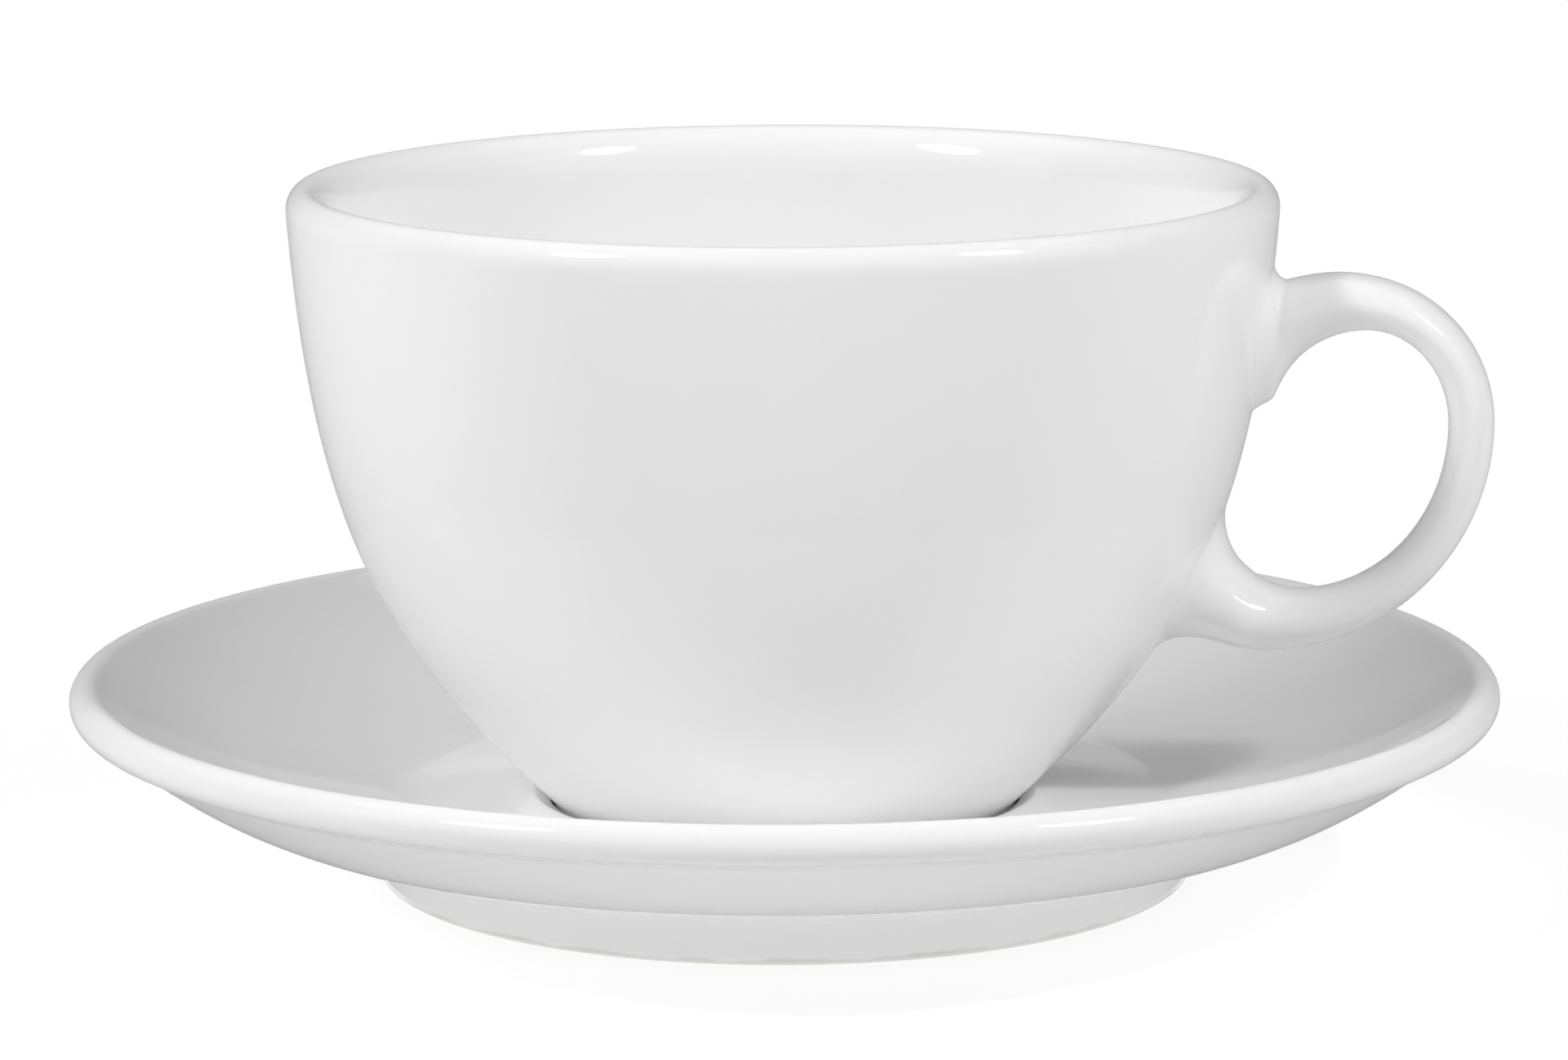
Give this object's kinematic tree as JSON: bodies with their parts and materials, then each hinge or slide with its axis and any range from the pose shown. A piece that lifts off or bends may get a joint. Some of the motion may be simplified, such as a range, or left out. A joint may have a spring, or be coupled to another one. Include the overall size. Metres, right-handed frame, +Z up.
{
  "type": "cafe au lait cup with saucer",
  "caption": "Wide round porcelain cup with a ring handle, standing in the well of its saucer, from which it lifts off.",
  "frame": {"origin": "on the common axis of cup and saucer, on the table under the saucer's foot ring", "axes": "+Z up along the common axis, +X towards the handle"},
  "size_m": [0.16, 0.16, 0.0779],
  "materials": {
    "saucer_porcelain": "clear gloss glaze over white porcelain, bare matt foot ring",
    "cup_porcelain": "clear gloss glaze over white porcelain, bare matt foot ring",
    "handle_porcelain": "clear gloss glaze over white porcelain"
  },
  "bodies": {
    "saucer": {"saucer": "saucer_porcelain"},
    "cup": {"cup_body": "cup_porcelain", "cup_handle": "handle_porcelain"}
  },
  "joints": [
    {"name": "cup_lift", "type": "slide", "parent": "saucer", "child": "cup", "axis": [0, 0, 1], "range_m": [0, 0.1]}
  ]
}
